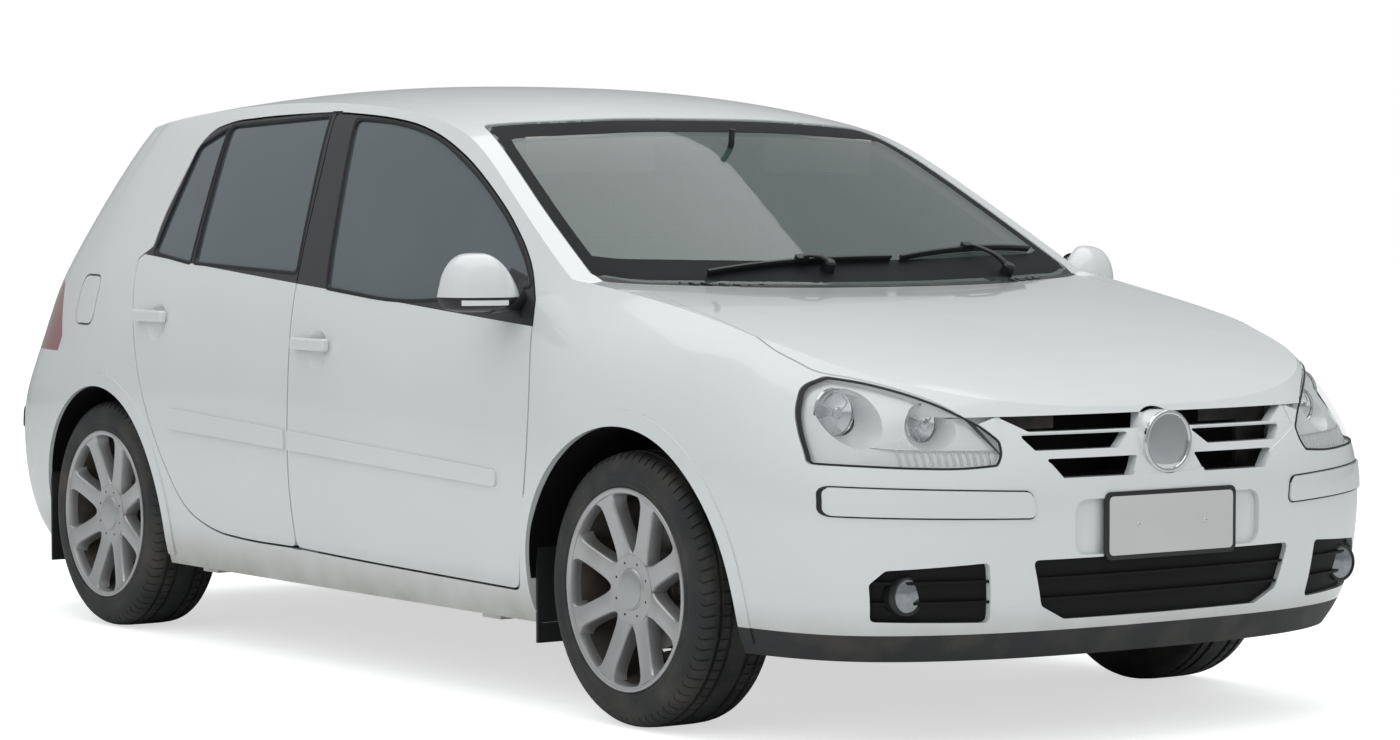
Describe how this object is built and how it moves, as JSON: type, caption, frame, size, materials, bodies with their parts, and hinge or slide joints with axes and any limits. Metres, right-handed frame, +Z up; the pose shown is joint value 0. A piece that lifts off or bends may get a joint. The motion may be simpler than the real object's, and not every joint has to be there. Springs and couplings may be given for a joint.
{
  "type": "hatchback car",
  "caption": "Hatchback car with hinged doors, bonnet and tailgate, steered front wheels and a glazed cabin.",
  "frame": {"origin": "on the ground below mid length and mid width", "axes": "+X to the front of the car, +Y to its left, +Z up"},
  "size_m": [4.21, 2.024, 1.5085],
  "materials": {
    "body_paint": "white gloss paint with a light film of dust",
    "underbody_paint": "dark satin underseal",
    "screen_glass": "clear laminated glass with a green tint",
    "tinted_glass": "dark tinted glass",
    "clear_lens": "clear moulded lens",
    "lamp_bowl": "bright metallised reflector housing",
    "red_lens": "red moulded lens",
    "black_plastic": "grained black plastic",
    "cabin_plastic": "soft dark grey moulding",
    "wheel_leather": "smooth black leather",
    "seat_fabric": "dark grey woven cloth",
    "cast_metal": "dull dark castings",
    "alloy": "silver lacquered alloy with brake dust",
    "tyre_rubber": "worn black rubber"
  },
  "bodies": {
    "root": {"underbody": "underbody_paint", "side_frame_left": "body_paint", "side_frame_right": "body_paint", "roof_panel": "body_paint", "windscreen": "screen_glass", "cowl_panel": "black_plastic", "fender_left": "body_paint", "fender_right": "body_paint", "front_bumper": "body_paint", "front_lip": "black_plastic", "upper_grille": "body_paint", "lower_grille": "black_plastic", "headlamps": "lamp_bowl", "headlamp_lenses": "clear_lens", "rear_bumper": "body_paint", "tail_lamps": "red_lens", "rear_panel": "underbody_paint", "dashboard": "cabin_plastic", "front_seat_right": "seat_fabric", "front_seat_left": "seat_fabric", "rear_seat": "seat_fabric", "engine_block": "cast_metal", "radiator": "black_plastic", "front_suspension": "cast_metal", "rear_axle": "cast_metal", "wheel_liners": "black_plastic", "exhaust": "cast_metal"},
    "door_front_right": {"door_front_right": "body_paint", "door_glass_front_right": "tinted_glass", "mirror_right": "black_plastic"},
    "door_rear_right": {"door_rear_right": "body_paint", "door_glass_rear_right": "tinted_glass"},
    "door_front_left": {"door_front_left": "body_paint", "door_glass_front_left": "tinted_glass", "mirror_left": "black_plastic"},
    "door_rear_left": {"door_rear_left": "body_paint", "door_glass_rear_left": "tinted_glass"},
    "bonnet": {"bonnet": "body_paint"},
    "tailgate": {"tailgate": "body_paint", "tailgate_glass": "tinted_glass"},
    "fuel_flap": {"fuel_flap": "body_paint"},
    "steering_wheel": {"steering_wheel": "wheel_leather"},
    "knuckle_right": {"knuckle_front_right": "cast_metal"},
    "knuckle_left": {"knuckle_front_left": "cast_metal"},
    "wheel_front_right": {"wheel_front_right": "alloy", "tyre_front_right": "tyre_rubber"},
    "wheel_front_left": {"wheel_front_left": "alloy", "tyre_front_left": "tyre_rubber"},
    "wheel_rear_right": {"wheel_rear_right": "alloy", "tyre_rear_right": "tyre_rubber"},
    "wheel_rear_left": {"wheel_rear_left": "alloy", "tyre_rear_left": "tyre_rubber"}
  },
  "joints": [
    {"name": "door_front_right_hinge", "type": "hinge", "parent": "root", "child": "door_front_right", "pos_m": [0.855, -0.892, 0.6], "axis": [0, 0, 1], "range_deg": [0, 65]},
    {"name": "door_rear_right_hinge", "type": "hinge", "parent": "root", "child": "door_rear_right", "pos_m": [-0.267, -0.892, 0.6], "axis": [0, 0, 1], "range_deg": [0, 65]},
    {"name": "door_front_left_hinge", "type": "hinge", "parent": "root", "child": "door_front_left", "pos_m": [0.855, 0.892, 0.6], "axis": [0, 0, -1], "range_deg": [0, 65]},
    {"name": "door_rear_left_hinge", "type": "hinge", "parent": "root", "child": "door_rear_left", "pos_m": [-0.267, 0.892, 0.6], "axis": [0, 0, -1], "range_deg": [0, 65]},
    {"name": "bonnet_hinge", "type": "hinge", "parent": "root", "child": "bonnet", "pos_m": [0.958, 0, 1.016], "axis": [0, -1, 0], "range_deg": [0, 55]},
    {"name": "tailgate_hinge", "type": "hinge", "parent": "root", "child": "tailgate", "pos_m": [-1.622, 0, 1.438], "axis": [0, 1, 0], "range_deg": [0, 80]},
    {"name": "fuel_flap_hinge", "type": "hinge", "parent": "root", "child": "fuel_flap", "pos_m": [-1.424, -0.844, 0.915], "axis": [0, 0.249, 0.9685], "range_deg": [0, 90]},
    {"name": "steer_right", "type": "hinge", "parent": "root", "child": "knuckle_right", "pos_m": [1.22, -0.72, 0.317], "axis": [0, 0, 1], "range_deg": [-33, 33]},
    {"name": "steer_left", "type": "hinge", "parent": "root", "child": "knuckle_left", "pos_m": [1.22, 0.72, 0.317], "axis": [0, 0, 1], "range_deg": [-33, 33]},
    {"name": "steering_wheel_turn", "type": "hinge", "parent": "root", "child": "steering_wheel", "pos_m": [0.4, -0.365, 0.9], "axis": [-0.9063, 0, 0.4226], "range_deg": [-495, 495]},
    {"name": "wheel_front_right_spin", "type": "hinge", "parent": "knuckle_right", "child": "wheel_front_right", "pos_m": [1.22, -0.758, 0.317], "axis": [0, 1, 0], "continuous": true},
    {"name": "wheel_front_left_spin", "type": "hinge", "parent": "knuckle_left", "child": "wheel_front_left", "pos_m": [1.22, 0.758, 0.317], "axis": [0, 1, 0], "continuous": true},
    {"name": "wheel_rear_right_spin", "type": "hinge", "parent": "root", "child": "wheel_rear_right", "pos_m": [-1.358, -0.752, 0.317], "axis": [0, 1, 0], "continuous": true},
    {"name": "wheel_rear_left_spin", "type": "hinge", "parent": "root", "child": "wheel_rear_left", "pos_m": [-1.358, 0.752, 0.317], "axis": [0, 1, 0], "continuous": true}
  ],
  "couplings": [
    {"joint": "steer_left", "follows": "steer_right", "ratio": 1},
    {"joint": "steering_wheel_turn", "follows": "steer_right", "ratio": 15}
  ]
}
